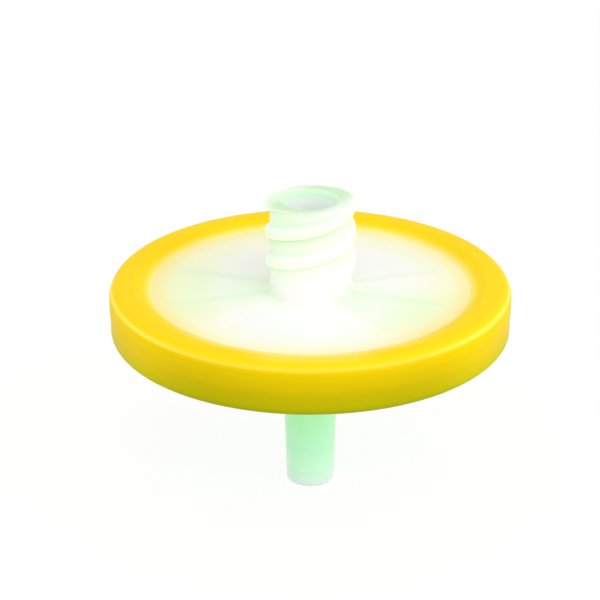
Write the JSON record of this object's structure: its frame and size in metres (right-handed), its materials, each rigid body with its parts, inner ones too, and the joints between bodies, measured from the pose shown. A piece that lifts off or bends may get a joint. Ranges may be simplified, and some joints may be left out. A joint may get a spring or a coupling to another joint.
{
  "type": "syringe filter",
  "caption": "Disc syringe filter: translucent housing with a threaded female Luer lock inlet, a male Luer slip outlet and a moulded colour band round its rim.",
  "frame": {"origin": "centre of the end face of the outlet cone", "axes": "+Z along the filter's axis, from the outlet cone to the inlet socket"},
  "size_m": [0.033, 0.033, 0.0253],
  "materials": {
    "natural_polypropylene": "natural polypropylene, moulded, translucent, with a fine gloss",
    "yellow_polypropylene": "pigmented polypropylene, moulded on, semi-gloss",
    "filter_membrane": "porous white polymer film, dead matt"
  },
  "bodies": {
    "root": {"inlet_housing": "natural_polypropylene", "outlet_housing": "natural_polypropylene", "membrane": "filter_membrane", "colour_band": "yellow_polypropylene"}
  },
  "joints": []
}
